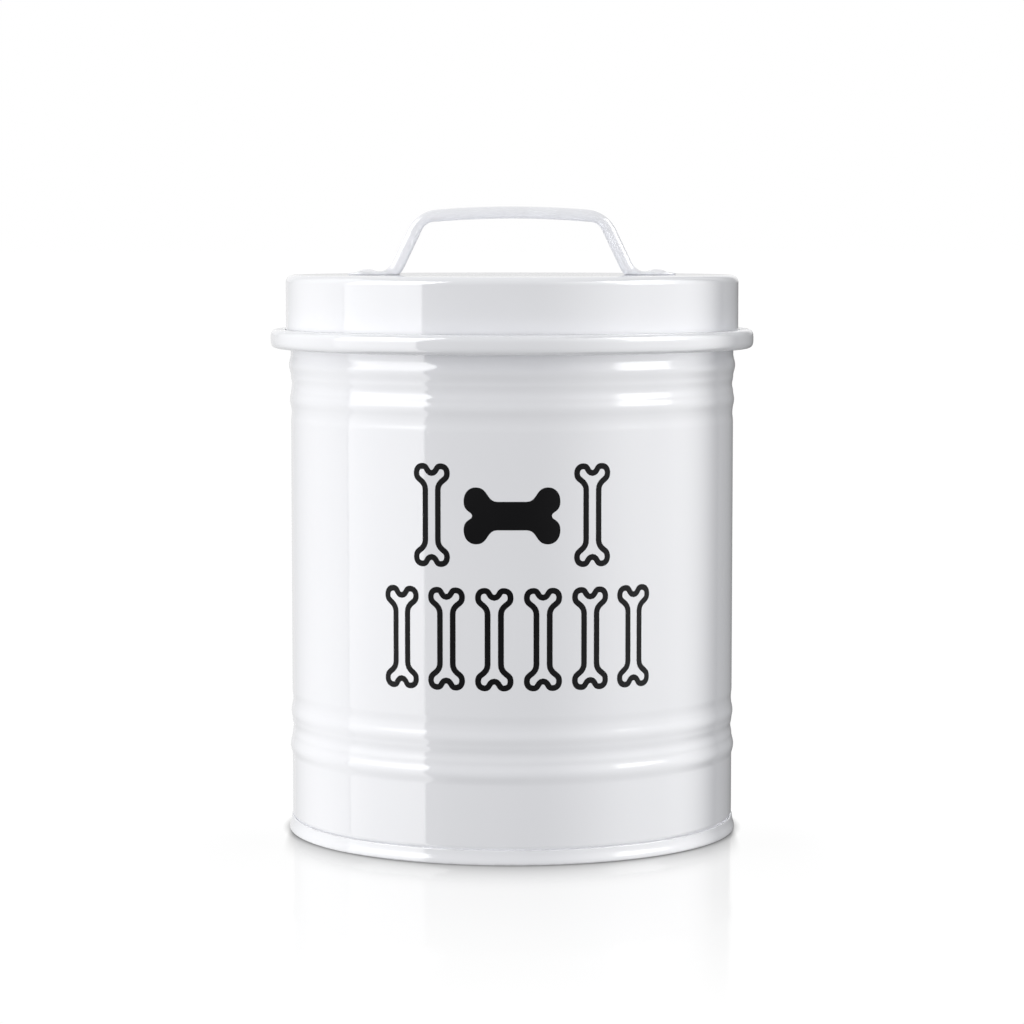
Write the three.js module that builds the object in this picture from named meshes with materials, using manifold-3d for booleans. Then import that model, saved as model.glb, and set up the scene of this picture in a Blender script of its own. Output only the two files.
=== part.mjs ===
// Round slip-lid pet food bin in painted sheet steel.
// Wall with two pairs of rolled beads and a curled rim, disc base seamed round the wall's foot,
// drawn lid with a curled lower edge, strap handle on two riveted feet, sealing ring in the lid.
// Millimetres, +Z up, origin at the centre of the foot.

import * as THREE from 'three';
import { mergeVertices } from 'three/addons/utils/BufferGeometryUtils.js';
import Module from 'manifold-3d';

const wasm = await Module();
wasm.setup();

// Wall
const wallRadius = 70;            // outside of the plain wall
const wallSheet = 0.5;
const rimHeight = 172.6;          // top of the rim above the floor
const rimCurlRadius = 1.2;        // the rim rolls inwards

// Beads: a pair above the foot, and its mirror image below the rim; offsets count from the big bead
const lowerBeadHeight = 27.1;     // big lower bead above the floor
const upperBeadDrop = 25.1;       // big upper bead below the rim
const bigBead = { offset: 0, rise: 0.6, halfWidth: 3.4 };
const pairGroove = { offset: 6.0, rise: -0.35, halfWidth: 2.6 };
const smallBead = { offset: 10.8, rise: 0.32, halfWidth: 2.6 };
const edgeGroove = { offset: 15.0, rise: -0.22, halfWidth: 3.0 };
const beadForms = [bigBead, pairGroove, smallBead, edgeGroove];
const smallBeadShoulder = 0.4;    // inside the small bead's ends, where its rise begins to show

// Base and its seam
const baseSheet = 0.5;
const baseRecess = 3.6;           // underside of the disc above the floor
const basePanelRadius = 52;       // the disc's middle is pressed up inside this
const basePanelRise = 0.8;
const panelSlope = 2;
const seamHeight = 4.5;
const seamReach = 1.35;           // furthest the seam stands out from the wall
const seamTopReach = 0.3;
const seamFlare = [[0.8, 0.3], [0.4, 0.6]];   // shares of the reach and height where its face bends
const seamNeck = 0.5;             // the wall is drawn in behind the seam by this
const neckSlope = 0.6;
const footEdge = 0.45;            // rounding of the seam where it stands on the floor
const seamGap = 0.3;

// Lid
const lidClearance = 0.88;        // wall to the inside of the skirt, on the radius
const lidSheet = 0.6;
const lidDepth = 23;              // top of the lid to the bottom of its curl
const lidCorner = 2.4;            // outside rounding of the lid's top edge
const curlHeight = 6;
const curlReach = 4.82;           // how far the curl stands out from the skirt
const curlRound = 2.7;            // radial depth of the curl's rounded front
const curlSlit = 0.62;            // left open between the curl's end and the skirt

// Sealing ring
const sealThickness = 2;
const sealWidth = 3.6;
const sealOverhang = 0.3;         // the ring stands out past the wall by this
const sealChamfer = 1.1;
const seatGap = 0.3;              // ring to the rim below and to the lid above

// Handle: a strap with both edges rolled under
const handleHeight = 21.45;       // lid to the top of the bar
const strapWidth = 16;
const rollDiameter = 3.75;
const strapSheet = 0.9;
const barArchRadius = 290;
const legAngle = THREE.MathUtils.degToRad(64.5);
const cornerBend = 6;
const footBend = 7;
const footSheet = 1;
const footTip = 6;                // rivet to the tip of its foot
const footHeel = 7.7;             // rivet to the inner end of its foot
const bendEnd = 3;                // rivet to where the strap has sunk into the foot
const footCorner = 6;

// Rivets and washers
const rivetSpacing = 91.4;
const shankRadius = 1.6;
const shankClearance = 0.3;
const headRadius = 3.4;
const headRise = 1.1;
const tailRadius = 2.8;
const tailThickness = 0.9;
const tailEdge = 0.4;
const washerRadius = 4.5;
const washerThickness = 0.8;

// Fineness
const roundSides = 40;            // a multiple of four, so that quarter turns of the lid match
const smallSides = 16;
const arcSteps = 4;
const rimArcSteps = 6;
const strapSteps = 48;
const strapArcDivisions = 4;
const beadSamples = 4;

// Heights and radii that follow
const sealBottom = rimHeight + seatGap;
const lidCeiling = sealBottom + sealThickness + seatGap;
const lidTop = lidCeiling + lidSheet;
const skirtInside = wallRadius + lidClearance;
const skirtOutside = skirtInside + lidSheet;
const holeRadius = shankRadius + shankClearance;
const rivetX = rivetSpacing / 2;

const paint = (color, roughness, metalness = 0) =>
  new THREE.MeshStandardMaterial({ color, roughness, metalness });

const point = (radius, height) => new THREE.Vector2(radius, height);

// Points on an ellipse's arc in the profile plane, both ends included.
function arc(centre, radiusAcross, radiusUp, fromDegrees, toDegrees, steps = arcSteps) {
  const points = [];
  for (let i = 0; i <= steps; i += 1) {
    const angle = THREE.MathUtils.degToRad(fromDegrees + (toDegrees - fromDegrees) * i / steps);
    points.push(point(centre.x + radiusAcross * Math.cos(angle), centre.y + radiusUp * Math.sin(angle)));
  }
  return points;
}

// A profile of (radius, height) points, taken round the Z axis. Profiles run anticlockwise.
function turned(profile, sides = roundSides) {
  return new THREE.LatheGeometry(profile, sides).rotateX(Math.PI / 2);
}

function closed(profile) {
  return [...profile, profile[0].clone()];
}

function asSolid(geometry) {
  geometry.deleteAttribute('normal');
  geometry.deleteAttribute('uv');
  const merged = mergeVertices(geometry, 1e-4);
  return new wasm.Manifold(new wasm.Mesh({
    numProp: 3,
    vertProperties: new Float32Array(merged.attributes.position.array),
    triVerts: new Uint32Array(merged.index.array),
  }));
}

function asGeometry(solid) {
  const mesh = solid.getMesh();
  const geometry = new THREE.BufferGeometry();
  geometry.setAttribute('position', new THREE.BufferAttribute(mesh.vertProperties, mesh.numProp));
  geometry.setIndex(new THREE.BufferAttribute(mesh.triVerts, 1));
  geometry.computeVertexNormals();
  return geometry;
}

// One piece standing through both rivet holes, cut from whatever is given.
function cutRivetHoles(solid) {
  let result = solid;
  for (const side of [-1, 1]) {
    const drill = new THREE.CylinderGeometry(holeRadius, holeRadius, lidDepth, smallSides);
    drill.rotateX(Math.PI / 2).translate(side * rivetX, 0, 0);
    result = result.subtract(asSolid(drill));
  }
  return result;
}

// Height of the beads over the plain wall, from one pair's formula on each end.
function beadRiseAt(distance) {
  let rise = 0;
  for (const form of beadForms) {
    const place = (distance - form.offset) / form.halfWidth;
    if (Math.abs(place) < 1) rise += form.rise * Math.cos(place * Math.PI / 2) ** 2;
  }
  return rise;
}

// Distances from the big bead at which the pair's profile is sampled.
function beadDistances() {
  const distances = [];
  for (let i = 0; i <= beadSamples; i += 1) {
    distances.push(bigBead.halfWidth * (2 * i / beadSamples - 1));
  }
  const shoulder = smallBead.halfWidth - smallBeadShoulder;
  distances.push(pairGroove.offset);
  distances.push(smallBead.offset - shoulder, smallBead.offset, smallBead.offset + shoulder);
  distances.push(edgeGroove.offset, edgeGroove.offset + edgeGroove.halfWidth);
  return distances;
}

// Outer line of the wall between the foot's neck and the rim's roll, upwards.
function wallLine() {
  const lower = beadDistances().map((d) => point(wallRadius + beadRiseAt(d), lowerBeadHeight + d));
  const upperBead = rimHeight - upperBeadDrop;
  const upper = beadDistances().map((d) => point(wallRadius + beadRiseAt(d), upperBead - d));
  return [...lower, ...upper.reverse()];
}

function bodyWall() {
  const foot = baseSheet + seamGap;
  const neckTop = seamHeight + seamGap;
  const neckRadius = wallRadius - seamNeck;
  const outer = [
    point(neckRadius, foot),
    point(neckRadius, neckTop),
    point(wallRadius, neckTop + neckSlope),
    ...wallLine(),
  ];
  const rollCentre = point(wallRadius - rimCurlRadius, rimHeight - rimCurlRadius);
  const rollInside = rimCurlRadius - wallSheet;
  const rollOut = arc(rollCentre, rimCurlRadius, rimCurlRadius, 0, 270, rimArcSteps);
  const rollBack = arc(rollCentre, rollInside, rollInside, 270, 0, rimArcSteps);
  const inner = outer.map((p) => point(p.x - wallSheet, p.y)).reverse();
  return turned(closed([...outer, ...rollOut, ...rollBack, ...inner]));
}

// The disc is pressed up from below, runs down inside the wall, under its foot and up outside it.
function basePlate() {
  const channelOutside = wallRadius - seamNeck + seamGap;
  const channelInside = wallRadius - seamNeck - wallSheet - seamGap;
  const legInside = channelInside - baseSheet;
  const seamRadius = wallRadius + seamReach;
  const seamTop = point(wallRadius + seamTopReach, seamHeight);
  const floor = baseRecess + baseSheet;
  return turned([
    point(0, baseRecess + basePanelRise),
    point(basePanelRadius - panelSlope, baseRecess + basePanelRise),
    point(basePanelRadius, baseRecess),
    point(legInside - baseSheet, baseRecess),
    point(legInside, baseRecess - baseSheet),
    point(legInside, footEdge),
    point(legInside + footEdge, 0),
    point(seamRadius - footEdge, 0),
    point(seamRadius, footEdge),
    ...seamFlare.map(([reach, height]) => point(wallRadius + seamReach * reach, seamHeight * height)),
    seamTop,
    point(channelOutside, seamHeight),
    point(channelOutside, baseSheet),
    point(channelInside, baseSheet),
    point(channelInside, floor - seamGap),
    point(channelInside - seamGap, floor),
    point(basePanelRadius, floor),
    point(basePanelRadius - panelSlope, floor + basePanelRise),
    point(0, floor + basePanelRise),
  ]);
}

// Heights in the lid are counted from its top face. The curl runs down from the skirt, out and up.
function lidShell() {
  const innerCorner = lidCorner - lidSheet;
  const bottom = -lidDepth;
  const curlTop = bottom + curlHeight;
  const curlMiddle = (bottom + curlTop) / 2;
  const frontCentre = point(skirtOutside + curlReach - curlRound, curlMiddle);
  const curlEnd = skirtOutside + curlSlit;
  const halfHeight = curlHeight / 2;
  const insideRound = curlRound - lidSheet;
  const insideHalf = halfHeight - lidSheet;
  const profile = [
    point(0, -lidSheet),
    ...arc(point(skirtInside - innerCorner, -lidCorner), innerCorner, innerCorner, 90, 0),
    point(skirtInside, bottom + lidSheet),
    point(skirtInside + lidSheet, bottom),
    ...arc(frontCentre, curlRound, halfHeight, -90, 90, 2 * arcSteps),
    point(curlEnd, curlTop),
    point(curlEnd, curlTop - lidSheet),
    ...arc(frontCentre, insideRound, insideHalf, 90, -90, arcSteps),
    point(skirtOutside, bottom + lidSheet),
    ...arc(point(skirtOutside - lidCorner, -lidCorner), lidCorner, lidCorner, 0, 90),
    point(0, 0),
  ];
  return asGeometry(cutRivetHoles(asSolid(turned(profile))));
}

function lidSeal() {
  const outside = wallRadius + sealOverhang;
  const inside = outside - sealWidth;
  return turned(closed([
    point(inside, sealBottom),
    point(outside, sealBottom),
    point(outside, sealBottom + sealThickness - sealChamfer),
    point(outside - sealChamfer, sealBottom + sealThickness),
    point(inside, sealBottom + sealThickness),
  ]));
}

// Centre line of the strap's rolled edges, in the plane across the lid, as x and height.
function strapLine() {
  const roll = rollDiameter / 2;
  const footX = rivetX - bendEnd;
  const footCentre = point(footX, footBend - roll);
  const legFoot = point(footX - footBend * Math.sin(legAngle), footCentre.y - footBend * Math.cos(legAngle));
  const down = point(Math.cos(legAngle), -Math.sin(legAngle));
  const inward = point(-Math.sin(legAngle), -Math.cos(legAngle));
  const archCentre = point(0, handleHeight - roll - barArchRadius);

  // The corner's centre lies cornerBend inside both the leg's line and the arch.
  const offset = legFoot.clone().addScaledVector(inward, cornerBend).sub(archCentre);
  const along = offset.dot(down);
  const reach = barArchRadius - cornerBend;
  const up = along + Math.sqrt(along ** 2 - offset.lengthSq() + reach ** 2);
  const corner = offset.addScaledVector(down, -up).add(archCentre);
  const archAngle = Math.atan2(corner.y - archCentre.y, corner.x);
  const legTurn = Math.PI / 2 - legAngle;

  const line = new THREE.Path();
  line.absarc(-footX, footCentre.y, footBend, -Math.PI / 2, -legTurn, false);
  line.absarc(-corner.x, corner.y, cornerBend, Math.PI - legTurn, Math.PI - archAngle, true);
  line.absarc(0, archCentre.y, barArchRadius, Math.PI - archAngle, archAngle, true);
  line.absarc(corner.x, corner.y, cornerBend, archAngle, legTurn, true);
  line.absarc(footX, footCentre.y, footBend, Math.PI + legTurn, 3 * Math.PI / 2, false);
  return line;
}

class StandingCurve extends THREE.Curve {
  constructor(line) {
    super();
    this.line = line;
  }

  getPoint(t, target = new THREE.Vector3()) {
    const flat = this.line.getPoint(t);
    return target.set(flat.x, 0, flat.y);
  }
}

// Two rolled edges joined by a web that lies flush with their outer side.
function strapSection() {
  const roll = rollDiameter / 2;
  const rollPlace = strapWidth / 2 - roll;
  const webSide = Math.PI + Math.asin((roll - strapSheet) / roll);
  const section = new THREE.Shape();
  section.absarc(rollPlace, 0, roll, -Math.PI / 2, webSide, false);
  section.absarc(-rollPlace, 0, roll, Math.PI - webSide, 3 * Math.PI / 2, false);
  section.closePath();
  return section;
}

function strap() {
  return new THREE.ExtrudeGeometry(strapSection(), {
    steps: strapSteps,
    curveSegments: strapArcDivisions,
    extrudePath: new StandingCurve(strapLine()),
    bevelEnabled: false,
  });
}

function foot(side) {
  const half = strapWidth / 2;
  const tip = rivetX + footTip;
  const outline = new THREE.Shape();
  outline.moveTo(rivetX - footHeel, -half);
  outline.absarc(tip - footCorner, -half + footCorner, footCorner, -Math.PI / 2, 0, false);
  outline.absarc(tip - footCorner, half - footCorner, footCorner, 0, Math.PI / 2, false);
  outline.lineTo(rivetX - footHeel, half);
  const plate = new THREE.ExtrudeGeometry(outline, {
    depth: footSheet,
    curveSegments: strapArcDivisions,
    bevelEnabled: false,
  });
  return side > 0 ? plate : plate.rotateZ(Math.PI);
}

function handle() {
  const underLid = new THREE.BoxGeometry(2 * rivetSpacing, 2 * strapWidth, lidDepth);
  underLid.translate(0, 0, -lidDepth / 2);
  const joined = asSolid(strap()).add(asSolid(foot(-1))).add(asSolid(foot(1)));
  return asGeometry(cutRivetHoles(joined.subtract(asSolid(underLid))));
}

// A low dome above the foot, a shank through foot, lid and washer, and a flattened tail below.
function rivet() {
  const washerFace = -lidSheet - washerThickness;
  const tail = washerFace - tailThickness;
  return turned([
    point(0, tail),
    point(tailRadius - tailEdge, tail),
    point(tailRadius, tail + tailEdge),
    point(tailRadius, washerFace),
    point(shankRadius, washerFace),
    point(shankRadius, footSheet),
    ...arc(point(0, footSheet), headRadius, headRise, 0, 90),
  ], smallSides);
}

function washer() {
  const face = -lidSheet;
  return turned(closed([
    point(holeRadius, face - washerThickness),
    point(washerRadius, face - washerThickness),
    point(washerRadius, face),
    point(holeRadius, face),
  ]), smallSides);
}

function piece(name, geometry, material) {
  const mesh = new THREE.Mesh(geometry, material);
  mesh.name = name;
  return mesh;
}

const bin = new THREE.Group();
bin.add(piece('body_wall', bodyWall(), paint(0xf3f3f6, 0.22)));
bin.add(piece('base_plate', basePlate(), paint(0xf1f1f4, 0.25)));
bin.add(piece('lid_seal', lidSeal(), paint(0xe4e6e8, 0.6)));

const lid = new THREE.Group();
lid.position.z = lidTop;
lid.add(piece('lid_shell', lidShell(), paint(0xf4f4f7, 0.2)));
lid.add(piece('handle', handle(), paint(0xf2f2f5, 0.25)));
for (const [side, word] of [[-1, 'left'], [1, 'right']]) {
  const rivetPiece = piece(`rivet_${word}`, rivet(), paint(0xf0f0f3, 0.28));
  const washerPiece = piece(`washer_${word}`, washer(), paint(0xc2c5c8, 0.35, 1));
  rivetPiece.position.x = side * rivetX;
  washerPiece.position.x = side * rivetX;
  lid.add(rivetPiece, washerPiece);
}
bin.add(lid);

export default bin;
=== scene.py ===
import math

import bmesh
import bpy
from mathutils import Matrix, Vector
from mathutils.geometry import interpolate_bezier


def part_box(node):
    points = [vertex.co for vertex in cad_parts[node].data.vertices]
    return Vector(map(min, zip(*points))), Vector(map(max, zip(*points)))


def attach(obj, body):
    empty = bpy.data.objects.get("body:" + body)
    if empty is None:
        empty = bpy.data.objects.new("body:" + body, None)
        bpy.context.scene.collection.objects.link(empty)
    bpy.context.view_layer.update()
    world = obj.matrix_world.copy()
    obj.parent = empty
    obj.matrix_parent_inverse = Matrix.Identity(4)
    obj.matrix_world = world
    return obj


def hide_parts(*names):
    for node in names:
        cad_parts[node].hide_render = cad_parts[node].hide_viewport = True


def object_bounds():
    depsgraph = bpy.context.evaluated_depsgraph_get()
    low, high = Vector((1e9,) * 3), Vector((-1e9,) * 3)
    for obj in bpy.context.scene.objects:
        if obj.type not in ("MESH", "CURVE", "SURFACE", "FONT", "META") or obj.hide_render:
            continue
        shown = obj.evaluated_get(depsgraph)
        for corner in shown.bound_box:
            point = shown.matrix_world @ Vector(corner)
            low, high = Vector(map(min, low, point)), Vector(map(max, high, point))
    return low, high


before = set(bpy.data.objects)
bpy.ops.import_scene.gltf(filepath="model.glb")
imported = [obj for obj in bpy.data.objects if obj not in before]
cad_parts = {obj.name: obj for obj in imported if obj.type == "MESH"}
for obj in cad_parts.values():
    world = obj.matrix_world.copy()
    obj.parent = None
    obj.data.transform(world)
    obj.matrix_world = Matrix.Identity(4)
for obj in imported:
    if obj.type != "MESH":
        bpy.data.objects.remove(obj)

# A round slip-lid food bin in white enamelled sheet steel with a printed front.
# Metres, +Z up. The printed side faces -Y and the handle's bar runs along X.

mm = 0.001
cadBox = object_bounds()
wallLow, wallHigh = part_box("body_wall")
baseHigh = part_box("base_plate")[1]
sealLow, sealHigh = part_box("lid_seal")
lidLow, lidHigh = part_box("lid_shell")
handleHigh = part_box("handle")[1]
rivetLow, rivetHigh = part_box("rivet_right")
washerLow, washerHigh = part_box("washer_right")
rivetX = (rivetLow.x + rivetHigh.x) / 2
lidTop = lidHigh.z
print("frame loaded:", len(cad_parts), "nodes")

roundSteps = 240        # steps of a full turn on the big round pieces
smallRoundSteps = 64    # and on the rivets and washers
mergeWithin = 0.001 * mm


# points on an ellipse's arc as (radius, height), both ends included; power below 1 makes it squarer
def arcLine(centre, across, up, start, end, steps=8, power=1.0):
    points = []
    for i in range(steps + 1):
        angle = math.radians(start + (end - start) * i / steps)
        side, rise = math.cos(angle), math.sin(angle)
        side = math.copysign(abs(side) ** power, side)
        rise = math.copysign(abs(rise) ** power, rise)
        points.append((centre[0] + across * side, centre[1] + up * rise))
    return points


# a chain of edges in the XZ plane, to be spun or filled
def profileMesh(points, closeIt=False):
    bm = bmesh.new()
    verts = [bm.verts.new((r, 0, z)) for r, z in points]
    for a, b in zip(verts, verts[1:]):
        bm.edges.new((a, b))
    if closeIt:
        bm.edges.new((verts[-1], verts[0]))
    return bm


def spinRound(bm, steps=roundSteps):
    bmesh.ops.spin(bm, geom=bm.verts[:] + bm.edges[:], cent=(0, 0, 0), axis=(0, 0, 1), dvec=(0, 0, 0),
                   angle=math.tau, steps=steps, use_merge=True, use_duplicate=False)
    bmesh.ops.remove_doubles(bm, verts=bm.verts, dist=mergeWithin)
    bmesh.ops.recalc_face_normals(bm, faces=bm.faces)
    return bm


# 0 to 1 along a length, with a soft start and end
def easeShare(share):
    return share * share * (3 - 2 * share)


# how sharply the surface turns outwards at each vertex, 1 at a radius of 1 mm or less
def markEdges(bm):
    bm.normal_update()
    layer = bm.verts.layers.float.new("edgeTurn")
    for vert in bm.verts:
        turn = 0
        for edge in vert.link_edges:
            away = vert.co - edge.other_vert(vert).co
            if away.length > 0.02 * mm:     # shorter edges only carry rounding errors
                turn = max(turn, 2 * mm * vert.normal.dot(away) / away.length_squared)
        vert[layer] = min(1, turn)


# the finished mesh as an object that rides on a CAD body in place of a CAD node
def makePiece(name, bm, body, material, replaced=None, sharpAbove=40):
    for face in bm.faces:
        face.smooth = True
    for edge in bm.edges:
        edge.smooth = not (edge.is_manifold and edge.calc_face_angle() > math.radians(sharpAbove))
    markEdges(bm)
    mesh = bpy.data.meshes.new(name)
    bm.to_mesh(mesh)
    bm.free()
    piece = bpy.data.objects.new(name, mesh)
    bpy.context.scene.collection.objects.link(piece)
    mesh.materials.append(material)
    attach(piece, body)
    if replaced:
        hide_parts(replaced)
    print("made", name, len(mesh.polygons), "faces")
    return piece


def newGroup(name, inputs, outputs):
    tree = bpy.data.node_groups.new(name, "ShaderNodeTree")
    for label, kind, value in inputs:
        socket = tree.interface.new_socket(name=label, in_out="INPUT", socket_type="NodeSocket" + kind)
        if value is not None:
            socket.default_value = value
    for label, kind in outputs:
        tree.interface.new_socket(name=label, in_out="OUTPUT", socket_type="NodeSocket" + kind)
    return tree, tree.nodes.new("NodeGroupInput"), tree.nodes.new("NodeGroupOutput")


def addNode(tree, kind, links=None, **settings):
    node = tree.nodes.new("ShaderNode" + kind)
    for key, value in settings.items():
        setattr(node, key, value)
    for socket, source in (links or {}).items():
        if isinstance(source, bpy.types.NodeSocket):
            tree.links.new(source, node.inputs[socket])
        else:
            node.inputs[socket].default_value = source
    return node


def mathNode(tree, operation, first, second=0.0, clamp=False):
    return addNode(tree, "Math", {0: first, 1: second}, operation=operation, use_clamp=clamp).outputs[0]


def noiseNode(tree, place, scale, detail=3.0, roughness=0.5):
    links = {"Vector": place, "Scale": scale, "Detail": detail, "Roughness": roughness}
    return addNode(tree, "TexNoise", links).outputs["Fac"]


# soft rise from 0 to 1 between two levels of a value
def bandNode(tree, value, low, high):
    links = {"Value": value, "From Min": low, "From Max": high}
    return addNode(tree, "MapRange", links, interpolation_type="SMOOTHSTEP").outputs["Result"]


def mixColors(tree, share, first, second):
    return addNode(tree, "Mix", {0: share, 6: first, 7: second}, data_type="RGBA").outputs[2]


# sprayed and baked enamel: slow tone drift, orange peel, a few dust nibs under the gloss
def buildEnamelGroup():
    tree, start, end = newGroup("sprayedEnamel", [
        ("Place", "Vector", None), ("Paint", "Color", (0.8, 0.8, 0.8, 1)),
        ("Drift", "Color", (0.7, 0.7, 0.7, 1)), ("Drift Amount", "Float", 0.3),
        ("Gloss", "Float", 0.15), ("Gloss Change", "Float", 0.05),
        ("Peel", "Float", 0.5), ("Wave", "Float", 0.5)],
        [("Color", "Color"), ("Roughness", "Float"), ("Height", "Float")])
    place = start.outputs["Place"]
    drift = bandNode(tree, noiseNode(tree, place, 14.0, 2.0), 0.3, 0.75)
    amount = mathNode(tree, "MULTIPLY", drift, start.outputs["Drift Amount"])
    nibs = bandNode(tree, noiseNode(tree, place, 900.0, 1.0), 0.74, 0.8)
    painted = mixColors(tree, amount, start.outputs["Paint"], start.outputs["Drift"])
    smears = noiseNode(tree, place, 45.0, 4.0, 0.6)
    roughness = mathNode(tree, "ADD", start.outputs["Gloss"],
                         mathNode(tree, "MULTIPLY", smears, start.outputs["Gloss Change"]))
    peel = mathNode(tree, "MULTIPLY", noiseNode(tree, place, 380.0, 2.0), start.outputs["Peel"])
    wave = mathNode(tree, "MULTIPLY", noiseNode(tree, place, 32.0, 1.0), start.outputs["Wave"])
    nibHeight = mathNode(tree, "MULTIPLY", nibs, 0.25)
    height = mathNode(tree, "ADD", mathNode(tree, "ADD", peel, wave), nibHeight)
    tree.links.new(painted, end.inputs["Color"])
    tree.links.new(roughness, end.inputs["Roughness"])
    tree.links.new(height, end.inputs["Height"])
    return tree


# where an edge turns sharply the coat is thin, so it shows the primer in a broken line
def buildEdgeGroup():
    tree, start, end = newGroup("thinAtEdges", [
        ("Place", "Vector", None), ("Edge", "Float", 0.0), ("Color", "Color", (0.8, 0.8, 0.8, 1)),
        ("Under", "Color", (0.5, 0.5, 0.5, 1)), ("Roughness", "Float", 0.2), ("Amount", "Float", 0.5)],
        [("Color", "Color"), ("Roughness", "Float")])
    place = start.outputs["Place"]
    broken = bandNode(tree, noiseNode(tree, place, 160.0, 5.0, 0.65), 0.35, 0.7)
    edge = bandNode(tree, start.outputs["Edge"], 0.3, 1.0)
    mask = mathNode(tree, "MULTIPLY", mathNode(tree, "MULTIPLY", edge, broken), start.outputs["Amount"])
    color = mixColors(tree, mask, start.outputs["Color"], start.outputs["Under"])
    rough = mathNode(tree, "ADD", start.outputs["Roughness"], mathNode(tree, "MULTIPLY", mask, 0.25))
    tree.links.new(color, end.inputs["Color"])
    tree.links.new(rough, end.inputs["Roughness"])
    return tree


enamelGroup = buildEnamelGroup()
edgeGroup = buildEdgeGroup()


def newMaterial(name):
    material = bpy.data.materials.new(name)
    material.use_nodes = True
    tree = material.node_tree
    place = tree.nodes.new("ShaderNodeTexCoord").outputs["Object"]
    return material, tree, tree.nodes["Principled BSDF"], place


def placeGroup(tree, group, values):
    node = tree.nodes.new("ShaderNodeGroup")
    node.node_tree = group
    for label, value in values.items():
        if isinstance(value, bpy.types.NodeSocket):
            tree.links.new(value, node.inputs[label])
        else:
            node.inputs[label].default_value = value
    return node


# colour, roughness and a fine relief into the shader
def finishShader(tree, shader, color, roughness, height, depth, strength=1.0):
    bump = addNode(tree, "Bump", {"Height": height, "Strength": strength, "Distance": depth})
    tree.links.new(color, shader.inputs["Base Color"])
    tree.links.new(roughness, shader.inputs["Roughness"])
    tree.links.new(bump.outputs["Normal"], shader.inputs["Normal"])


def enamelMaterial(name, look):
    material, tree, shader, place = newMaterial(name)
    coat = placeGroup(tree, enamelGroup, {
        "Place": place, "Paint": (*look["paint"], 1), "Drift": (*look["drift"], 1),
        "Drift Amount": look["driftAmount"], "Gloss": look["gloss"], "Gloss Change": look["glossChange"],
        "Peel": look["peel"], "Wave": look["wave"]})
    edge = addNode(tree, "Attribute", attribute_name="edgeTurn")
    worn = placeGroup(tree, edgeGroup, {
        "Place": place, "Edge": edge.outputs["Fac"], "Color": coat.outputs["Color"],
        "Under": (*look["primer"], 1), "Roughness": coat.outputs["Roughness"],
        "Amount": look["edgeAmount"]})
    finishShader(tree, shader, worn.outputs["Color"], worn.outputs["Roughness"], coat.outputs["Height"],
                 look["relief"])
    shader.inputs["Specular IOR Level"].default_value = look["shine"]
    return material


whiteEnamel = {
    "paint": (0.834, 0.84, 0.87), "drift": (0.806, 0.815, 0.848), "driftAmount": 0.5,
    "primer": (0.52, 0.52, 0.53), "gloss": 0.045, "glossChange": 0.04,
    "peel": 0.22, "wave": 1.0, "relief": 0.03 * mm, "edgeAmount": 0.3, "shine": 0.5}
wallEnamel = enamelMaterial("wallEnamel", whiteEnamel)
baseEnamel = enamelMaterial("baseEnamel", {**whiteEnamel, "gloss": 0.08, "edgeAmount": 0.4})
lidEnamel = enamelMaterial("lidEnamel", {**whiteEnamel, "paint": (0.842, 0.848, 0.876)})
# the handle's white is a lighter copy of the wall's enamel: painted light that stands in for the light the
# handle catches
handleEnamelWithPaintedLight = enamelMaterial("handleEnamelWithPaintedLight", {
    **whiteEnamel, "paint": (0.872, 0.878, 0.908), "gloss": 0.06, "peel": 0.08, "wave": 0.15})
rivetEnamel = enamelMaterial("rivetEnamel", {**whiteEnamel, "gloss": 0.12, "peel": 0.5, "wave": 0.2})


def inkMaterial():
    look = {
        "ink": (0.003, 0.003, 0.0035), "thin": (0.009, 0.009, 0.01), "thinAmount": 0.6,
        "gloss": 0.32, "glossChange": 0.1, "peel": 0.5, "wave": 1.0, "relief": 0.03 * mm, "shine": 0.05}
    material, tree, shader, place = newMaterial("blackInk")
    coat = placeGroup(tree, enamelGroup, {
        "Place": place, "Paint": (*look["ink"], 1), "Drift": (*look["thin"], 1),
        "Drift Amount": look["thinAmount"], "Gloss": look["gloss"], "Gloss Change": look["glossChange"],
        "Peel": look["peel"], "Wave": look["wave"]})
    finishShader(tree, shader, coat.outputs["Color"], coat.outputs["Roughness"], coat.outputs["Height"],
                 look["relief"])
    shader.inputs["Specular IOR Level"].default_value = look["shine"]
    return material


def zincMaterial():
    look = {"bright": (0.66, 0.67, 0.69), "dull": (0.45, 0.46, 0.47), "gloss": 0.28, "relief": 0.02 * mm}
    material, tree, shader, place = newMaterial("zincPlate")
    cells = addNode(tree, "TexVoronoi", {"Vector": place, "Scale": 700.0})
    tone = bandNode(tree, cells.outputs["Distance"], 0.1, 0.8)
    color = mixColors(tree, tone, (*look["bright"], 1), (*look["dull"], 1))
    scuff = noiseNode(tree, place, 260.0, 4.0)
    rough = mathNode(tree, "ADD", look["gloss"], mathNode(tree, "MULTIPLY", scuff, 0.2))
    finishShader(tree, shader, color, rough, scuff, look["relief"], 0.6)
    shader.inputs["Metallic"].default_value = 1.0
    return material


def siliconeMaterial():
    look = {"milk": (0.74, 0.76, 0.76), "dust": (0.62, 0.63, 0.62), "matt": 0.42, "relief": 0.03 * mm}
    material, tree, shader, place = newMaterial("milkySilicone")
    dust = bandNode(tree, noiseNode(tree, place, 120.0, 5.0, 0.6), 0.45, 0.8)
    dusty = mathNode(tree, "MULTIPLY", dust, 0.5)
    color = mixColors(tree, dusty, (*look["milk"], 1), (*look["dust"], 1))
    rough = mathNode(tree, "ADD", look["matt"], mathNode(tree, "MULTIPLY", dust, 0.2))
    finishShader(tree, shader, color, rough, noiseNode(tree, place, 500.0, 3.0), look["relief"], 0.5)
    return material


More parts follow.
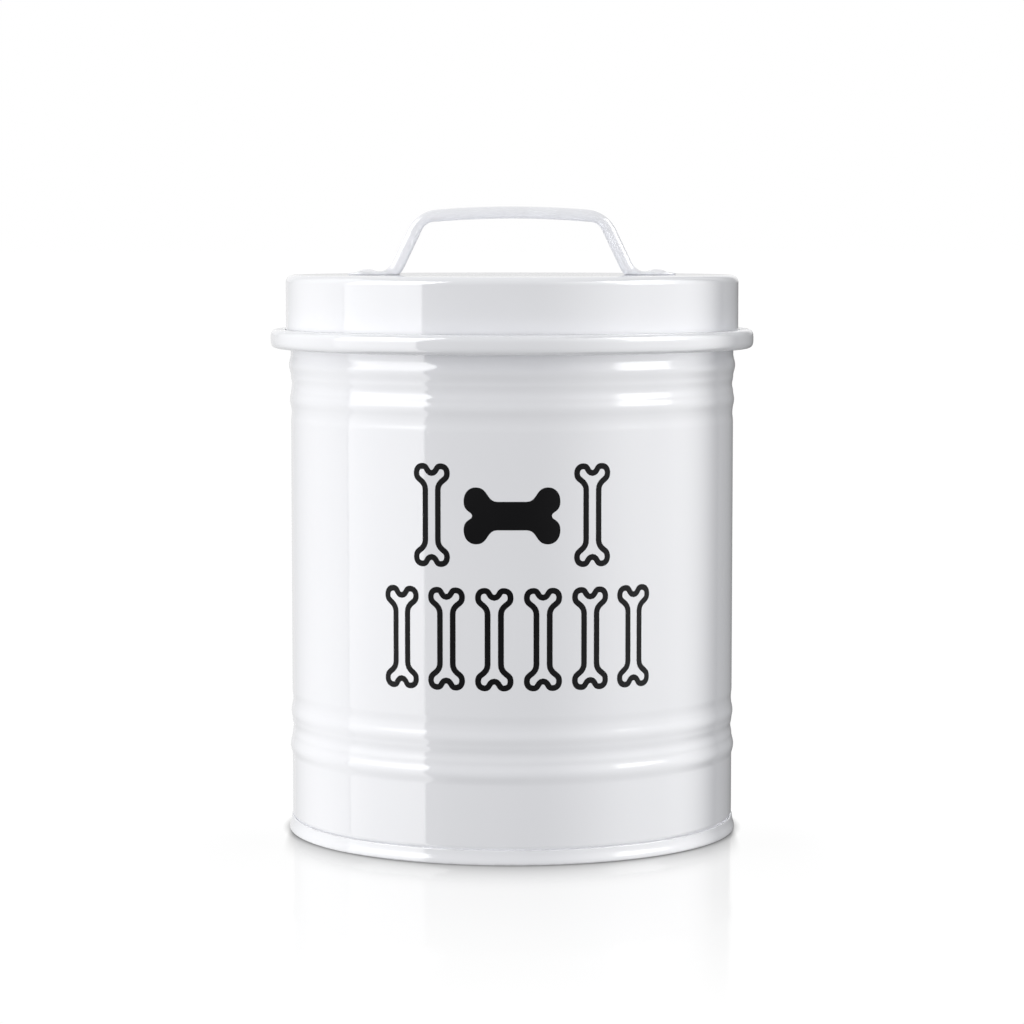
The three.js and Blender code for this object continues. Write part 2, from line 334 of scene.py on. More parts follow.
blackInk = inkMaterial()
zincPlate = zincMaterial()
milkySilicone = siliconeMaterial()
print("materials ready")


# the wall: rolled from sheet, beaded near both ends, rim rolled in, lapped and welded at the back
wall = {
    "sheet": 0.5 * mm,
    "lowerBead": 27.1 * mm,       # big lower bead above the floor
    "upperBead": 25.1 * mm,       # big upper bead below the rim
    # place, rise and half width in mm of a big bead, a groove, a small bead and a shallow groove
    "beads": [(0.0, 0.6, 3.4), (6.0, -0.35, 2.6), (10.8, 0.32, 2.6), (15.0, -0.22, 3.0)],
    "beadSteps": 52,
    "rimRoll": 1.2 * mm,
    "rimGap": 0.1 * mm,           # from the roll's tip to the wall inside
    "neckDepth": 0.5 * mm,        # drawn in behind the base seam
    "neckTop": 4.75 * mm,
    "neckEase": 0.9 * mm,         # half the height of the step from the neck to the wall
    "lapWidth": 4.2 * mm,
    "lapRise": 0.2 * mm,
    "lapSlope": 0.35 * mm,        # width of the slope at each edge of the lap
}
wallRadius = wallHigh.x - max(rise for place, rise, half in wall["beads"]) * mm


def beadRise(distance):
    rise = 0
    for place, height, half in wall["beads"]:
        near = (distance / mm - place) / half
        if abs(near) < 1:
            rise += height * mm * math.cos(near * math.pi / 2) ** 2
    return rise


# outer line of one pair of beads, from the big bead's far side inwards
def beadPair():
    place, rise, half = wall["beads"][0]
    start = (place - half) * mm
    place, rise, half = wall["beads"][-1]
    end = (place + half) * mm
    line = []
    for i in range(wall["beadSteps"] + 1):
        distance = start + (end - start) * i / wall["beadSteps"]
        line.append((distance, wallRadius + beadRise(distance)))
    return line


def makeWall():
    neck = wallRadius - wall["neckDepth"]
    top = wall["neckTop"]
    rise = wall["neckEase"]
    outer = [(neck, wallLow.z), (neck, top - rise)]
    for i in range(1, 9):       # eased step out to the plain wall
        out = wall["neckDepth"] * easeShare(i / 8)
        outer.append((neck + out, top - rise + 2 * rise * i / 8))
    outer += [(radius, wall["lowerBead"] + d) for d, radius in beadPair()]
    outer += [(radius, wallHigh.z - wall["upperBead"] - d) for d, radius in reversed(beadPair())]
    roll = wall["rimRoll"]
    centre = (wallRadius - roll, wallHigh.z - roll)
    inside = roll - wall["sheet"]
    edge = wall["sheet"] / 2
    rollEnd = 262               # degrees that the rim is rolled through
    tip = (centre[0] - wall["rimGap"], centre[1] - roll + edge)
    rolled = arcLine(centre, roll, roll, 0, rollEnd, 30)
    rolled += arcLine(tip, edge, edge, -90, 90, 4)[1:-1]
    rolled += arcLine(centre, inside, inside, rollEnd, 0, 20)
    inner = [(r - wall["sheet"], z) for r, z in reversed(outer[::2])]
    bm = spinRound(profileMesh(outer + rolled + inner, closeIt=True))
    addLap(bm)
    makePiece("enamelled_wall", bm, "bin", wallEnamel, "body_wall")


# the lap of the side seam: cut a narrow strip at the back and lift it
def addLap(bm):
    half = wall["lapWidth"] / 2
    nearLap = half + 2.9 * mm       # the faces that the cuts may touch
    for x in (-half - wall["lapSlope"], -half, half, half + wall["lapSlope"]):
        parts = set()
        for face in bm.faces:
            middle = face.calc_center_median()
            if middle.y > 0 and abs(middle.x) < nearLap:
                parts.add(face)
                parts.update(face.edges)
                parts.update(face.verts)
        bmesh.ops.bisect_plane(bm, geom=list(parts), plane_co=(x, 0, 0), plane_no=(1, 0, 0),
                               dist=mergeWithin)
    for vert in bm.verts:
        if vert.co.y > 0 and abs(vert.co.x) < half + 0.01 * mm:
            vert.co.y += wall["lapRise"]


makeWall()


# the base: a disc with a raised middle, seamed round the foot of the wall
base = {
    "sheet": 0.5 * mm, "recess": 3.6 * mm,
    "panelRadius": 52 * mm, "panelRise": 0.8 * mm, "panelSlope": 3 * mm,
    "legCorner": 0.8 * mm, "insideCorner": 0.6 * mm,      # where the disc meets the seam, below and above
    "seamHeight": 4.5 * mm, "seamTop": 0.3 * mm, "gap": 0.3 * mm, "footEdge": 0.5 * mm,
    "flareLow": 1.6 * mm, "flareHigh": 2.2 * mm,    # heights that shape the seam's hollow flare
    "lipRound": 0.38 * mm, "tight": 0.02 * mm,      # the seam's rolled lip lies against the wall
    "slimmer": 0.35 * mm,                           # how far the foot stays inside the widest seam
}


def makeBase():
    sheet = base["sheet"]
    channelOut = wallRadius - wall["neckDepth"] + base["tight"]
    channelIn = wallRadius - wall["neckDepth"] - wall["sheet"] - base["gap"]
    leg = channelIn - sheet
    reach = baseHigh.x - base["slimmer"]
    under = base["recess"]
    floor = under + sheet
    edge = base["footEdge"]
    lip = wallRadius + base["seamTop"]
    lipLow = base["seamHeight"] - base["lipRound"]

    def panelStep(height, outwards):
        points = []
        for i in range(9):
            radius = base["panelRadius"] - base["panelSlope"] * (1 - i / 8)
            points.append((radius, height + base["panelRise"] * (1 - easeShare(i / 8))))
        return points if outwards else points[::-1]

    flare = interpolate_bezier(Vector((reach, edge, 0)), Vector((reach + 0.05 * mm, base["flareLow"], 0)),
                               Vector((lip + 0.1 * mm, base["flareHigh"], 0)), Vector((lip, lipLow, 0)), 16)
    profile = [(0, under + base["panelRise"])] + panelStep(under, True)
    corner = base["legCorner"]
    profile += arcLine((leg - corner, under - corner), corner, corner, 90, 0, 6)
    profile += arcLine((leg + edge, edge), edge, edge, 180, 270, 6)
    profile += arcLine((reach - edge, edge), edge, edge, 270, 350, 6)
    profile += [(p.x, p.y) for p in flare]
    lipMiddle = (lip + channelOut) / 2
    profile += arcLine((lipMiddle, lipLow), lip - lipMiddle, base["lipRound"], 0, 180, 12)[1:]
    profile += [(channelOut, sheet), (channelIn, sheet)]
    corner = base["insideCorner"]
    profile += arcLine((channelIn - corner, floor - corner), corner, corner, 0, 90, 6)
    profile += panelStep(floor, False) + [(0, floor + base["panelRise"])]
    bm = spinRound(profileMesh(profile))
    makePiece("seamed_base", bm, "bin", baseEnamel, "base_plate")


makeBase()


# the lid: drawn cap, its lower edge curled outwards and up
lid = {
    "sheet": 0.6 * mm, "clearance": 0.88 * mm, "corner": 2.4 * mm,
    "curlHeight": 6 * mm, "curlRound": 2.7 * mm, "slit": 0.45 * mm,
    "curlSquare": 0.64,     # 1 for a round curl, less for a squarer one
}


def makeLid():
    sheet, corner = lid["sheet"], lid["corner"]
    inside = wallRadius + lid["clearance"]
    outside = inside + sheet
    bottom, top = lidLow.z, lidHigh.z
    curlTop = bottom + lid["curlHeight"]
    half = lid["curlHeight"] / 2
    front = (lidHigh.x - lid["curlRound"], bottom + half)
    hollow = lid["curlRound"] - sheet
    end = outside + lid["slit"] + sheet / 2
    profile = [(0, top - sheet), (rivetX, top - sheet)]
    profile += arcLine((inside - corner + sheet, top - corner), corner - sheet, corner - sheet, 90, 0, 10)
    profile += arcLine((inside + sheet, bottom + sheet), sheet, sheet, 180, 270, 6)
    profile += arcLine(front, lid["curlRound"], half, -90, 90, 40, lid["curlSquare"])
    profile += arcLine((end, curlTop - sheet / 2), sheet / 2, sheet / 2, 90, 270, 8)
    profile += arcLine(front, hollow, half - sheet, 90, -90, 20, lid["curlSquare"])
    profile += [(outside + sheet / 2, bottom + sheet), (outside, bottom + 1.2 * sheet)]
    profile += arcLine((outside - corner, top - corner), corner, corner, 0, 90, 14)
    profile += [(rivetX, top), (0, top)]
    bm = spinRound(profileMesh(profile))
    makePiece("lid_cap", bm, "lid", lidEnamel, "lid_shell")


makeLid()


# the sealing ring, a soft square section with one well rounded edge
seal = {"width": 3.6 * mm, "edgeRound": 0.5 * mm, "upperRound": 1.1 * mm}


def makeSeal():
    inner, outer, low, high = sealHigh.x - seal["width"], sealHigh.x, sealLow.z, sealHigh.z
    soft, upper = seal["edgeRound"], seal["upperRound"]
    profile = arcLine((outer - soft, low + soft), soft, soft, -90, 0, 6)
    profile += arcLine((outer - upper, high - upper), upper, upper, 0, 90, 8)
    profile += arcLine((inner + soft, high - soft), soft, soft, 90, 180, 6)
    profile += arcLine((inner + soft, low + soft), soft, soft, 180, 270, 6)
    bm = spinRound(profileMesh(profile, closeIt=True))
    makePiece("seal_ring", bm, "seal", milkySilicone, "lid_seal")


makeSeal()


# the handle: a strap with both edges rolled under, flattened into two feet
strap = {
    "web": 0.9 * mm, "roll": 1.875 * mm, "footSheet": 1.0 * mm,
    "archRadius": 291.875 * mm, "legAngle": 64.5, "cornerBend": 11.2 * mm, "footBend": 5.125 * mm,
    "cornerSqueeze": 0.14,      # the rolls flatten by this share in the middle of the corner's bend
    "bendEnd": 3.0 * mm, "footStart": 6 * mm, "footCorner": 6.0 * mm, "footThinning": 0.4, "rollSteps": 14,
}


# the strap's outer face as (x, height above the lid, slope, roll share), from the middle to the foot
def strapRoute():
    leg = math.radians(strap["legAngle"])
    bend, corner, arch = strap["footBend"], strap["cornerBend"], strap["archRadius"]
    height = handleHigh.z - lidTop
    footX = rivetX - strap["bendEnd"] - strap["footSheet"] / math.tan(leg)
    footZ = strap["footSheet"] + bend
    legFoot = Vector((footX - bend * math.sin(leg), footZ - bend * math.cos(leg)))
    down = Vector((math.cos(leg), -math.sin(leg)))
    inward = Vector((-math.sin(leg), -math.cos(leg)))
    archZ = height - arch
    offset = legFoot + inward * corner - Vector((0, archZ))
    along = offset.dot(down)
    up = along + math.sqrt(along ** 2 - offset.length_squared + (arch - corner) ** 2)
    turn = offset - down * up + Vector((0, archZ))
    archAngle = math.atan2(turn.y - archZ, turn.x)
    route = []
    for i in range(12):
        angle = math.pi / 2 + (archAngle - math.pi / 2) * i / 12
        route.append((arch * math.cos(angle), archZ + arch * math.sin(angle), angle - math.pi / 2, 1.0))
    for i in range(21):
        angle = archAngle + (math.pi / 2 - leg - archAngle) * i / 20
        share = 1 - strap["cornerSqueeze"] * math.sin(math.pi * i / 20) ** 2
        x, z = turn.x + corner * math.cos(angle), turn.y + corner * math.sin(angle)
        route.append((x, z, angle - math.pi / 2, share))
    for i in range(1, 5):
        point = Vector((turn.x, turn.y)) - inward * corner
        point = point.lerp(legFoot, i / 5)
        route.append((point.x, point.y, -leg, 1.0))
    for i in range(19):
        slope = leg * (1 - i / 18)
        route.append((footX - bend * math.sin(slope), footZ - bend * math.cos(slope), -slope, 1.0))
    return route


# the flat foot beyond the bend as (x, thickness share), rounded in plan and over its end
def footRoute(startX):
    tip = handleHigh.x
    corner, thinning = strap["footCorner"], strap["footThinning"]
    endRound = 0.4 * strap["footSheet"]
    route = [(startX + (tip - corner - startX) * i / 4, 1.0) for i in range(1, 5)]
    for i in range(1, 13):
        angle = math.radians(90 * i / 12)
        x = tip - corner + (corner - endRound) * math.sin(angle)
        route.append((x, 1 - thinning * math.sin(angle) ** 2))
    for i in range(1, 6):
        angle = math.radians(80 * i / 5)
        x = tip - endRound + endRound * math.sin(angle)
        route.append((x, (1 - thinning) * math.cos(angle)))
    return route


# section loop in (across, out of the face), the rolls shrink to the sheet's own edge on the feet
def strapSection(roll, web, halfWidth, flatten=1.0):
    low = math.asin(max(-1, min(1, (roll - web) / roll)))       # where the roll meets the web's underside
    steps = strap["rollSteps"]
    half = []
    for i in range(steps + 1):
        angle = math.pi / 2 - (3 * math.pi / 2 + low) * i / steps
        half.append((halfWidth - roll + roll * math.cos(angle), -roll + roll * math.sin(angle)))
    loop = half + [(-y, n) for y, n in reversed(half)]
    return [(y, -web / 2 + (n + web / 2) * flatten) for y, n in loop]


def makeHandle():
    halfWidth = handleHigh.y
    stations = []
    for x, z, slope, share in strapRoute():
        out = math.cos(slope)
        # the rolls flatten where they meet the lid, and the web grows to the foot's thickness
        roll = min(strap["roll"] * share, z / (2 * max(0.05, out)))
        roll = max(roll, strap["footSheet"] / 2)
        web = strap["web"]
        if z < strap["footStart"]:
            web += (strap["footSheet"] - strap["web"]) * out ** 4
        stations.append((x, z, slope, strapSection(roll, min(web, 2 * roll), halfWidth)))
    tip, corner = handleHigh.x, strap["footCorner"]
    for x, flatten in footRoute(stations[-1][0]):
        past = max(0, x - (tip - corner))
        narrow = halfWidth - corner + math.sqrt(max(0, corner ** 2 - past ** 2))
        section = strapSection(strap["footSheet"] / 2, strap["footSheet"], narrow, flatten)
        stations.append((x, strap["footSheet"] * (1 + flatten) / 2, 0.0, section))

    bm = bmesh.new()
    order = bm.verts.layers.int.new("order")

    def moveLoop(verts, station):
        x, z, slope, section = station
        for vert in verts:
            y, out = section[vert[order]]
            vert.co = (x - out * math.sin(slope), y, lidTop + z + out * math.cos(slope))

    loop = []
    for i in range(len(stations[0][3])):
        vert = bm.verts.new((0, 0, 0))
        vert[order] = i
        loop.append(vert)
    edges = [bm.edges.new((a, b)) for a, b in zip(loop, loop[1:] + loop[:1])]
    moveLoop(loop, stations[0])
    for station in stations[1:]:
        made = bmesh.ops.extrude_edge_only(bm, edges=edges)["geom"]
        verts = [part for part in made if isinstance(part, bmesh.types.BMVert)]
        edges = [part for part in made if isinstance(part, bmesh.types.BMEdge)
                 and all(v in verts for v in part.verts)]
        moveLoop(verts, station)
    bmesh.ops.edgeloop_fill(bm, edges=edges)
    bmesh.ops.mirror(bm, geom=bm.verts[:] + bm.edges[:] + bm.faces[:], matrix=Matrix.Identity(4),
                     merge_dist=0.01 * mm, axis="X")
    bmesh.ops.recalc_face_normals(bm, faces=bm.faces)
    makePiece("strap_handle", bm, "lid", handleEnamelWithPaintedLight, "handle")


makeHandle()


# rivets with a low dome, and their washers and tails inside the lid
rivet = {"head": 3.4 * mm, "rise": 0.8 * mm, "shank": 1.6 * mm, "tail": 2.8 * mm, "tailRound": 0.35 * mm}
washer = {"hole": 1.9 * mm, "edgeRound": 0.15 * mm}


def makeRivets():
    headLow = lidTop + strap["footSheet"]
    tail, shank, head = rivet["tail"], rivet["shank"], rivet["head"]
    for side, word in ((-1, "left"), (1, "right")):
        soft = rivet["tailRound"]
        profile = [(0, rivetLow.z)] + arcLine((tail - soft, rivetLow.z + soft), soft, soft, -90, 0, 6)
        profile += [(tail, washerLow.z), (shank, washerLow.z), (shank, headLow), (head, headLow)]
        for i in range(1, 15):      # low lens, eased into the foot round its edge
            out = 1 - i / 14
            profile.append((head * out, headLow + rivet["rise"] * (1 - out ** 2) ** 1.25))
        bm = spinRound(profileMesh(profile), smallRoundSteps)
        bmesh.ops.translate(bm, verts=bm.verts, vec=(side * rivetX, 0, 0))
        makePiece("rivet_dome_" + word, bm, "lid", rivetEnamel, "rivet_" + word)

        inner, outer, soft = washer["hole"], washerHigh.x - rivetX, washer["edgeRound"]
        ring = arcLine((outer - soft, washerLow.z + soft), soft, soft, -90, 0, 4)
        ring += arcLine((outer - soft, washerHigh.z - soft), soft, soft, 0, 90, 4)
        ring += arcLine((inner + soft, washerHigh.z - soft), soft, soft, 90, 180, 4)
        ring += arcLine((inner + soft, washerLow.z + soft), soft, soft, 180, 270, 4)
        bm = spinRound(profileMesh(ring, closeIt=True), smallRoundSteps)
        bmesh.ops.translate(bm, verts=bm.verts, vec=(side * rivetX, 0, 0))
        makePiece("backing_washer_" + word, bm, "lid", zincPlate, "washer_" + word)


makeRivets()


# the print: bones in black ink, a solid one between two outlined ones and a row of six below
motif = {
    "ink": 0.03 * mm, "stroke": 1.75 * mm, "lift": 0.012 * mm,
    "upper": 105 * mm, "lower": 68 * mm, "tall": 31 * mm, "wide": 11.5 * mm,
    "rowStep": 14.6 * mm, "rowShift": 2 * mm, "sideStep": 24.5 * mm,
    "boneLong": 29 * mm, "boneWide": 17 * mm,
    "reach": 46 * mm, "strips": 76,     # cut into strips narrow enough to bend round the wall
}


# closed outline of a bone, long way up, one quarter drawn with three curves and mirrored
def boneOutline(wide, tall, steps=10):
    w, h = wide / 2, tall / 2
    knob = 0.26 * tall if tall < 2.2 * wide else 0.52 * wide
    quarter = [
        [(0, h - 0.34 * knob), (0.16 * w, h - 0.34 * knob), (0.12 * w, h), (0.5 * w, h)],
        [(0.5 * w, h), (0.8 * w, h), (w, h - 0.2 * knob), (w, h - 0.5 * knob)],
        [(w, h - 0.5 * knob), (w, h - knob), (0.5 * w, h - 0.9 * knob), (0.5 * w, h - 1.35 * knob)],
    ]
    points = []
    for curve in quarter:
        knots = [Vector((x, y, 0)) for x, y in curve]
        points += [(p.x, p.y) for p in interpolate_bezier(*knots, steps + 1)[:-1]]
    points.append(quarter[-1][-1])
    right = points + [(x, -y) for x, y in reversed(points)]
    return right + [(-x, y) for x, y in reversed(right[1:-1])]


def addMark(bm, outline, centre, outlined, lying=False):
    verts = []
    for x, y in outline:
        place = (y, x) if lying else (x, y)
        verts.append(bm.verts.new((centre[0] + place[0], 0, centre[1] + place[1])))
    face = bm.faces.new(verts)
    face.normal_update()
    if outlined:
        bmesh.ops.inset_region(bm, faces=[face], thickness=motif["stroke"], use_even_offset=True,
                               use_boundary=True)
        bmesh.ops.delete(bm, geom=[face], context="FACES")


def makePrint():
    bm = bmesh.new()
    tallBone = boneOutline(motif["wide"], motif["tall"])
    for side in (-1, 1):
        addMark(bm, tallBone, (side * motif["sideStep"], motif["upper"]), True)
    addMark(bm, boneOutline(motif["boneWide"], motif["boneLong"]), (0, motif["upper"]), False, lying=True)
    for i in range(6):
        addMark(bm, tallBone, ((i - 2.5) * motif["rowStep"] + motif["rowShift"], motif["lower"]), True)
    bmesh.ops.triangulate(bm, faces=bm.faces[:])
    for i in range(motif["strips"] + 1):
        x = motif["reach"] * (2 * i / motif["strips"] - 1)
        bmesh.ops.bisect_plane(bm, geom=bm.verts[:] + bm.edges[:] + bm.faces[:], plane_co=(x, 0, 0),
                               plane_no=(1, 0, 0), dist=0.0005 * mm)
    bmesh.ops.recalc_face_normals(bm, faces=bm.faces)
    made = bmesh.ops.extrude_face_region(bm, geom=bm.faces[:])["geom"]
    bmesh.ops.translate(bm, verts=[v for v in made if isinstance(v, bmesh.types.BMVert)],
                        vec=(0, -motif["ink"], 0))
    for vert in bm.verts:
        radius = wallRadius + motif["lift"] - vert.co.y
        angle = vert.co.x / wallRadius
        vert.co = (radius * math.sin(angle), -radius * math.cos(angle), vert.co.z)
    bmesh.ops.recalc_face_normals(bm, faces=bm.faces)
    makePiece("front_print", bm, "bin", blackInk, None, sharpAbove=30)


makePrint()


# studio: pale floor, a crisp box light on the left, a soft one on the right, a dark flag behind right
studio = {
    "cameraDistance": 1.0584, "cameraHeight": 0.1875, "cameraDown": 4.70, "lens": 117.35,
    "airLeft": 1.27, "airRight": 0.93, "airFront": 0.81, "airFlag": 0.16, "airTop": 0.95, "airBelow": 0.38,
    "sideBand": (-0.6, 0.9), "frontBand": (0.2, 1.0), "flagBand": (0.3, 0.95), "heightBand": (0.1, 0.75),
    "frontAim": (0.09, -1, 0), "flagTurn": 145,
    "floorHalf": 40, "floorDrop": 0.02 * mm, "floorTone": 1.01,
    "floorGloss": 0.38, "floorGlossBlur": 0.1,
    # the floor's reflection fades in and out at these distances in front of the middle, and to the sides
    "glossStart": (-0.02, 0.04), "glossEnd": (0.07, 0.30), "glossSide": (0.08, 0.11),
    # reach of the painted contact shade on the floor, and reach, side edge, fall-off and depth of the painted
    # shade in front of the foot
    "contactReach": 2.5 * mm, "shadeReach": 42 * mm, "shadeEdge": 20 * mm, "shadeFall": 2.2, "shadeDark": 0.6,
}
# each screen: azimuth span, shares of it that fade in and out, least level while it fades in, level, factors
# at the low and high edge, levels under its faded ends, then a brighter window in it
screens = [
    {"name": "boxScreen", "span": (-91, -36), "fade": (0, 0.01, 0.846, 0.854), "least": 0, "level": 4.2,
     "low": 0.7, "high": 1.9, "under": (2.5, 1.0), "lean": 0.13,
     "window": (-89, -44.5), "soft": 0.01, "height": 0.25, "extra": 2.6},
    {"name": "behindScreen", "span": (-183, -91.2), "fade": (0.3, 1.0, 0.995, 1), "least": 0.22,
     "level": 3.9, "low": 1, "high": 1, "under": (0, 2.5)},
    {"name": "stripScreen", "span": (8, 132), "fade": (0, 0.5, 0.66, 1), "least": 0, "level": 4.3,
     "low": 0.7, "high": 1.8, "under": (0.8, 0),
     "window": (50, 92), "soft": 0.08, "height": 0.28, "extra": 6},
    {"name": "backScreen", "span": (150, 218), "fade": (0, 0.3, 0.95, 1), "least": 0, "level": 0.8,
     "low": 1, "high": 1, "under": (0.2, 1.3), "from": 0.178, "inside": 0.1,
     "window": (158, 216), "soft": 0.05, "height": 0.2, "extra": 0.22},
]
screenRadius, screenLow, screenHigh = 1.3, -1.2, 1.6
leanLow, leanHigh = 0.25, 1.0       # between these heights the far edge leans outwards
windowFade = 0.06


def newStagePiece(bm, name, material):
    mesh = bpy.data.meshes.new(name)
    bm.to_mesh(mesh)
    bm.free()
    mesh.materials.append(material)
    piece = bpy.data.objects.new(name, mesh)
    bpy.context.scene.collection.objects.link(piece)
    piece.visible_diffuse = False
    piece.visible_shadow = False
    return piece


# a curved screen round the bin, glowing softly towards its ends, seen in the gloss only
def makeScreen(look):
    start, end = (math.radians(angle) for angle in look["span"])
    bm = bmesh.new()
    low = look.get("from", screenLow)
    radius = screenRadius - look.get("inside", 0)
    foot = bm.verts.new((radius * math.sin(start), -radius * math.cos(start), low))
    head = bm.verts.new(foot.co + Vector((0, 0, screenHigh - low)))
    edge = bm.edges.new((foot, head))
    bmesh.ops.spin(bm, geom=[foot, head, edge], cent=(0, 0, 0), axis=(0, 0, 1), dvec=(0, 0, 0),
                   angle=end - start, steps=60, use_merge=False, use_duplicate=False)
    across = bm.verts.layers.float.new("across")
    for vert in bm.verts:
        turn = math.atan2(vert.co.x, -vert.co.y)
        # the small turn keeps the first column from wrapping round to a full turn
        vert[across] = ((turn - start + 0.01) % math.tau - 0.01) / (end - start)
    material, tree, shader, place = newMaterial(look["name"])
    tree.nodes.remove(shader)
    share = addNode(tree, "Attribute", attribute_name="across").outputs["Fac"]
    height = addNode(tree, "SeparateXYZ", {0: place}).outputs["Z"]
    rise = addNode(tree, "MapRange", {"Value": height, "From Min": screenLow, "From Max": screenHigh,
                                      "To Min": look["low"], "To Max": look["high"]}).outputs["Result"]
    fadeIn = bandNode(tree, share, look["fade"][0], look["fade"][1])
    fadeIn = addNode(tree, "MapRange", {"Value": fadeIn, "To Min": look["least"]}).outputs["Result"]
    leaning = addNode(tree, "MapRange", {"Value": height, "From Min": leanLow, "From Max": leanHigh,
                                         "To Max": look.get("lean", 0)}).outputs["Result"]
    share = mathNode(tree, "SUBTRACT", share, leaning)
    fadeOut = mathNode(tree, "SUBTRACT", 1.0, bandNode(tree, share, look["fade"][2], look["fade"][3]))
    level = mathNode(tree, "MULTIPLY", mathNode(tree, "MULTIPLY", fadeIn, fadeOut), rise)
    level = mathNode(tree, "MULTIPLY", level, look["level"])
    for fade, under in zip((fadeIn, fadeOut), look["under"]):      # the faded ends glow like the air there
        faded = mathNode(tree, "SUBTRACT", 1.0, fade)
        level = mathNode(tree, "ADD", level, mathNode(tree, "MULTIPLY", faded, under))
    if "window" in look:
        first, last = ((math.radians(angle) - start) / (end - start) for angle in look["window"])
        within = mathNode(tree, "SUBTRACT", bandNode(tree, share, first, first + look["soft"]),
                          bandNode(tree, share, last - look["soft"], last))
        above = bandNode(tree, height, look["height"], look["height"] + windowFade)
        extra = mathNode(tree, "MULTIPLY", mathNode(tree, "MULTIPLY", within, above), look["extra"])
        level = mathNode(tree, "ADD", level, extra)
    glow = addNode(tree, "Emission", {"Strength": level})
    tree.links.new(glow.outputs[0], tree.nodes["Material Output"].inputs["Surface"])
    screen = newStagePiece(bm, look["name"], material)
    screen.visible_camera = False


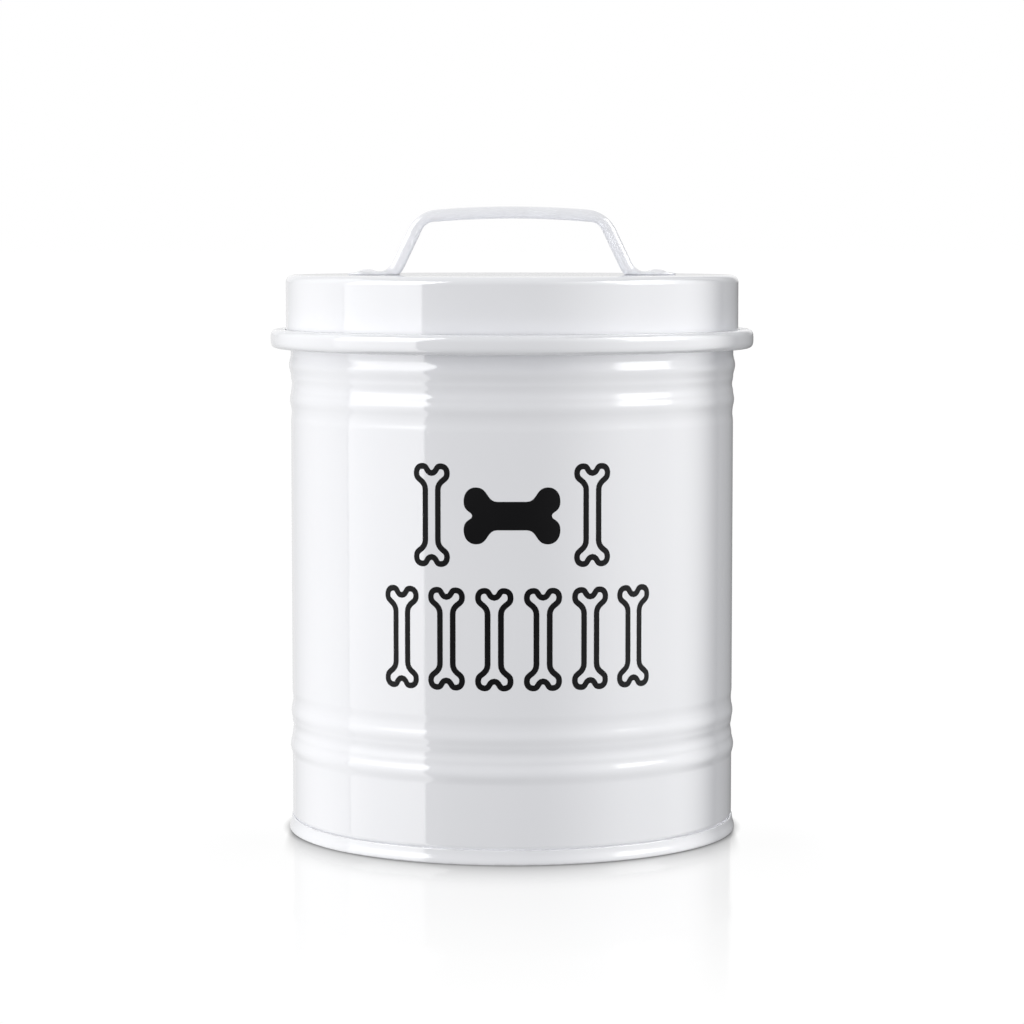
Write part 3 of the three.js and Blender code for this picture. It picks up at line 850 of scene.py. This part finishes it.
def makeFloor():
    bm = bmesh.new()
    bmesh.ops.create_grid(bm, x_segments=1, y_segments=1, size=studio["floorHalf"])
    bmesh.ops.translate(bm, verts=bm.verts, vec=(0, 0, cadBox[0].z - studio["floorDrop"]))
    material, tree, shader, place = newMaterial("paleFloor")
    tree.nodes.remove(shader)
    # on the white sweep only a contact shade, a short shade in front and a short reflection show; both shades
    # are painted shade in the floor's glow, not cast by light (ambient occlusion near the foot, and a
    # fall-off with distance in front of the foot), while the reflection is real gloss
    contact = addNode(tree, "AmbientOcclusion", {"Distance": studio["contactReach"]}, samples=24)
    spot = addNode(tree, "SeparateXYZ", {0: place}).outputs
    footRadius = baseHigh.x - base["slimmer"]
    # painted shade in front of the foot: darkest at the foot's front edge, fading out over shadeReach, only
    # ahead of the bin
    chord = mathNode(tree, "SUBTRACT", footRadius ** 2, mathNode(tree, "MULTIPLY", spot["X"], spot["X"]))
    chord = mathNode(tree, "SQRT", mathNode(tree, "MAXIMUM", chord, 0.0))
    forward = mathNode(tree, "MULTIPLY", spot["Y"], -1.0)
    ahead = mathNode(tree, "DIVIDE", mathNode(tree, "SUBTRACT", forward, chord), studio["shadeReach"])
    paintedFrontShade = mathNode(tree, "POWER", mathNode(tree, "SUBTRACT", 1.0, ahead, clamp=True), studio["shadeFall"])
    inFront = mathNode(tree, "MULTIPLY", bandNode(tree, chord, 0.0, studio["shadeEdge"]),
                       bandNode(tree, forward, 0.0, studio["shadeEdge"]))
    paintedFrontShade = mathNode(tree, "MULTIPLY", mathNode(tree, "MULTIPLY", paintedFrontShade, inFront), studio["shadeDark"])
    # the floor's glow times the painted contact shade and the painted front shade
    shade = mathNode(tree, "MULTIPLY", contact.outputs["AO"], mathNode(tree, "SUBTRACT", 1.0, paintedFrontShade))
    clouds = noiseNode(tree, place, 3.0, 2.0)
    grain = addNode(tree, "MapRange", {"Value": clouds, "To Min": 1.0, "To Max": 1.01}).outputs["Result"]
    level = mathNode(tree, "MULTIPLY", mathNode(tree, "MULTIPLY", shade, grain), studio["floorTone"])
    matt = addNode(tree, "Emission", {"Strength": level})
    gloss = addNode(tree, "BsdfGlossy", {"Color": (1, 1, 1, 1), "Roughness": studio["floorGlossBlur"]})
    near = mathNode(tree, "SUBTRACT", bandNode(tree, forward, *studio["glossStart"]),
                    bandNode(tree, forward, *studio["glossEnd"]))
    aside = bandNode(tree, mathNode(tree, "ABSOLUTE", spot["X"]), *studio["glossSide"])
    near = mathNode(tree, "MULTIPLY", near, mathNode(tree, "SUBTRACT", 1.0, aside))
    facing = addNode(tree, "LayerWeight", {"Blend": 0.5}).outputs["Facing"]
    share = mathNode(tree, "MULTIPLY", near, mathNode(tree, "MULTIPLY", facing, facing))
    share = mathNode(tree, "MULTIPLY", share, studio["floorGloss"])
    blend = addNode(tree, "MixShader", {0: share, 1: matt.outputs[0], 2: gloss.outputs[0]})
    tree.links.new(blend.outputs[0], tree.nodes["Material Output"].inputs["Surface"])
    floor = newStagePiece(bm, "floor", material)
    floor.visible_glossy = False


# the room's air: bright on the left, dimmer in front and below, flagged dark behind right
def makeAir():
    world = bpy.data.worlds.new("studioAir")
    bpy.context.scene.world = world
    world.use_nodes = True
    tree = world.node_tree
    way = tree.nodes.new("ShaderNodeTexCoord").outputs["Generated"]
    parts = addNode(tree, "SeparateXYZ", {0: way})
    side, up = parts.outputs["X"], parts.outputs["Z"]
    down = mathNode(tree, "MULTIPLY", up, -1.0)
    turn = math.radians(studio["flagTurn"])

    def towards(aim):
        return addNode(tree, "VectorMath", {0: way, 1: aim}, operation="DOT_PRODUCT").outputs["Value"]

    def step(share, first, second):
        return addNode(tree, "Mix", {0: share, 2: first, 3: second}, data_type="FLOAT").outputs[0]

    forward = towards(studio["frontAim"])
    behindRight = towards((math.sin(turn), -math.cos(turn), 0))
    air = step(bandNode(tree, side, *studio["sideBand"]), studio["airLeft"], studio["airRight"])
    air = step(bandNode(tree, forward, *studio["frontBand"]), air, studio["airFront"])
    air = step(bandNode(tree, behindRight, *studio["flagBand"]), air, studio["airFlag"])
    air = step(bandNode(tree, up, *studio["heightBand"]), air, studio["airTop"])
    air = step(bandNode(tree, down, *studio["heightBand"]), air, studio["airBelow"])
    seen = tree.nodes.new("ShaderNodeLightPath").outputs["Is Camera Ray"]
    # behind the bin the camera sees plain white
    tree.links.new(step(seen, air, 1.0), tree.nodes["Background"].inputs["Strength"])
    tree.nodes["Background"].inputs["Color"].default_value = (1, 1, 1, 1)


def makeStudio():
    scene = bpy.context.scene
    scene.view_settings.view_transform = "Standard"
    camera = bpy.data.cameras.new("camera")
    camera.lens = studio["lens"]
    eye = bpy.data.objects.new("camera", camera)
    eye.location = (0, -studio["cameraDistance"], studio["cameraHeight"])
    eye.rotation_euler = (math.radians(90 - studio["cameraDown"]), 0, 0)
    scene.collection.objects.link(eye)
    scene.camera = eye
    for look in screens:
        makeScreen(look)
    makeFloor()
    makeAir()


makeStudio()
print("studio ready")
